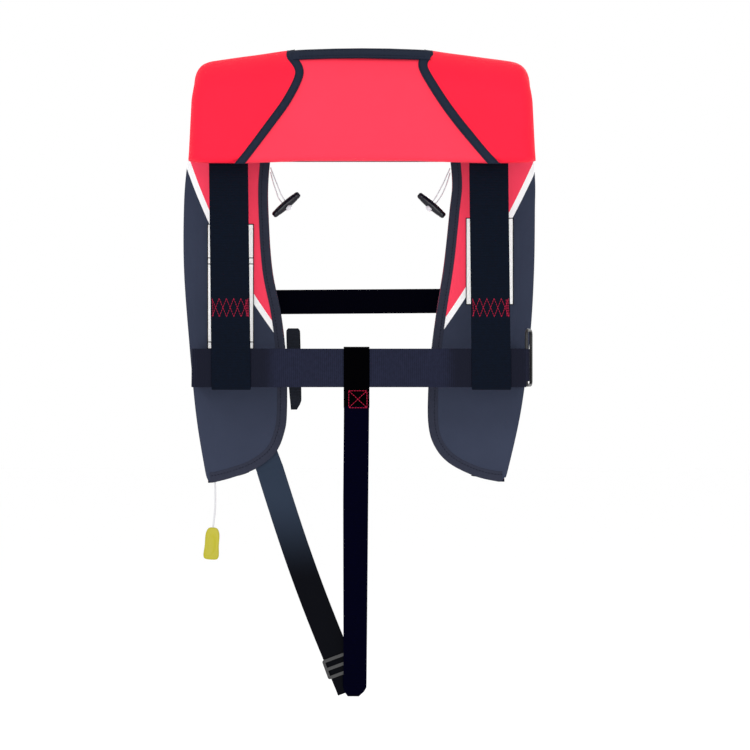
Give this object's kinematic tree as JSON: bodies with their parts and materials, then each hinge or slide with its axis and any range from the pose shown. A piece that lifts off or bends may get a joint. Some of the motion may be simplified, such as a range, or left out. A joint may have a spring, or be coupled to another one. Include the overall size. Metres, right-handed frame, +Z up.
{
  "type": "inflatable life jacket",
  "caption": "Pull-over inflatable life jacket with a padded yoke, two front lobes, webbing straps, waist buckle, crotch strap, pull handle and oral tube.",
  "frame": {"origin": "top of the neck edge, in the jacket's middle plane, where the jacket hangs on a hook", "axes": "+X to the wearer's right, +Y to the wearer's front, +Z up"},
  "size_m": [0.4645, 0.1512, 0.8317],
  "materials": {
    "red_shell": "coated ripstop, satin",
    "navy_binding": "folded grosgrain",
    "charcoal_lining": "printed mesh-backed lining, charcoal with a red field and a white stripe",
    "inner_mesh": "close mesh",
    "bladder_film": "coated nylon film, matt",
    "navy_webbing": "ribbed webbing",
    "black_webbing": "ribbed webbing, satin",
    "black_plastic": "moulded, fine grain",
    "gloss_black_plastic": "moulded, glossy",
    "yellow_plastic": "moulded, satin",
    "orange_plastic": "moulded, glossy",
    "red_plastic": "moulded, glossy",
    "black_metal": "black coated wire",
    "cylinder_steel": "zinc coated steel, satin",
    "manifold_brass": "machined",
    "white_label": "woven, no lettering",
    "closure_tape": "hook and loop",
    "grey_cord": "braided",
    "white_cord": "braided"
  },
  "bodies": {
    "root": {"yoke_backing": "inner_mesh", "yoke_centre_panel": "red_shell", "neck_binding": "navy_binding", "bladder": "bladder_film", "waist_belt_back": "navy_webbing", "waist_belt_front_left": "navy_webbing", "chest_strap": "black_webbing", "buckle_socket": "black_plastic", "crotch_strap": "black_webbing", "crotch_strap_root": "black_webbing", "gas_cylinder": "cylinder_steel", "inflator_body": "black_plastic", "bladder_manifold": "manifold_brass", "manifold_nut": "manifold_brass", "oral_tube": "black_plastic", "whistle": "orange_plastic", "whistle_tape": "black_webbing", "shoulder_backing_left": "inner_mesh", "shoulder_cover_left": "red_shell", "flap_binding_left": "navy_binding", "lobe_backing_left": "charcoal_lining", "lobe_binding_left": "navy_binding", "lobe_label_left": "white_label", "loop_tape_left": "closure_tape", "back_strap_left": "black_webbing", "shoulder_backing_right": "inner_mesh", "shoulder_cover_right": "red_shell", "flap_binding_right": "navy_binding", "lobe_backing_right": "charcoal_lining", "lobe_binding_right": "navy_binding", "lobe_label_right": "white_label", "loop_tape_right": "closure_tape", "back_strap_right": "black_webbing"},
    "left_cover": {"opening_cover_left": "red_shell", "hook_tape_left": "closure_tape"},
    "right_cover": {"opening_cover_right": "red_shell", "hook_tape_right": "closure_tape"},
    "buckle_male": {"buckle_tongue": "black_plastic", "waist_belt_front_right": "navy_webbing"},
    "prong_upper": {"buckle_prong_upper": "black_plastic"},
    "prong_lower": {"buckle_prong_lower": "black_plastic"},
    "ring": {"side_ring": "black_metal"},
    "tether": {"tether_loop": "navy_webbing"},
    "pull": {"pull_cord": "grey_cord", "pull_handle": "yellow_plastic"},
    "lever": {"inflator_lever": "black_plastic"},
    "toggle_left": {"toggle_bead_left": "gloss_black_plastic", "toggle_cord_left": "white_cord"},
    "toggle_right": {"toggle_bead_right": "gloss_black_plastic", "toggle_cord_right": "white_cord"},
    "cap": {"oral_cap": "black_plastic"},
    "valve": {"oral_valve": "red_plastic"},
    "slider": {"crotch_slider": "black_plastic"}
  },
  "joints": [
    {"name": "left_cover_hinge", "type": "hinge", "parent": "root", "child": "left_cover", "pos_m": [-0.2206, 0.043, -0.413], "axis": [-0.1551, 0, 0.9879], "range_deg": [0, 110]},
    {"name": "right_cover_hinge", "type": "hinge", "parent": "root", "child": "right_cover", "pos_m": [0.2196, 0.043, -0.413], "axis": [-0.2316, 0, -0.9728], "range_deg": [0, 110]},
    {"name": "buckle_release", "type": "slide", "parent": "root", "child": "buckle_male", "axis": [1, 0, 0], "range_m": [0, 0.022]},
    {"name": "prong_upper_press", "type": "hinge", "parent": "buckle_male", "child": "prong_upper", "pos_m": [0.011, 0.0421, -0.3965], "axis": [0, -1, 0], "range_deg": [0, 8], "stiffness_Nm_per_rad": 0.1},
    {"name": "prong_lower_press", "type": "hinge", "parent": "buckle_male", "child": "prong_lower", "pos_m": [0.011, 0.0421, -0.4245], "axis": [0, -1, 0], "range_deg": [-8, 0], "stiffness_Nm_per_rad": 0.1},
    {"name": "ring_swing", "type": "hinge", "parent": "root", "child": "ring", "pos_m": [0.2119, -0.0365, -0.3975], "axis": [0, 0, -1], "range_deg": [0, 100]},
    {"name": "tether_slide", "type": "slide", "parent": "root", "child": "tether", "axis": [1, 0, 0], "range_m": [0, 0.03]},
    {"name": "pull_travel", "type": "slide", "parent": "root", "child": "pull", "axis": [0, 0, -1], "range_m": [0, 0.0128]},
    {"name": "lever_turn", "type": "hinge", "parent": "root", "child": "lever", "pos_m": [-0.1845, 0.0545, -0.536], "axis": [0, -1, 0], "range_deg": [0, 80]},
    {"name": "toggle_left_swing", "type": "hinge", "parent": "root", "child": "toggle_left", "pos_m": [-0.1182, 0.05, -0.146], "axis": [0, -1, 0], "range_deg": [0, 40]},
    {"name": "toggle_right_swing", "type": "hinge", "parent": "root", "child": "toggle_right", "pos_m": [0.1182, 0.05, -0.147], "axis": [0, 1, 0], "range_deg": [0, 40]},
    {"name": "cap_pull", "type": "slide", "parent": "root", "child": "cap", "axis": [0, 0, 1], "range_m": [0, 0.014]},
    {"name": "valve_press", "type": "slide", "parent": "root", "child": "valve", "axis": [0, 0, -1], "range_m": [0, 0.002], "stiffness_N_per_m": 250},
    {"name": "slider_adjust", "type": "slide", "parent": "root", "child": "slider", "axis": [-0.3479, 0.1094, 0.9311], "range_m": [0, 0.06]}
  ],
  "couplings": [
    {"joint": "prong_lower_press", "follows": "prong_upper_press", "ratio": -1},
    {"joint": "lever_turn", "follows": "pull_travel", "rad_per_m": 108.61}
  ]
}
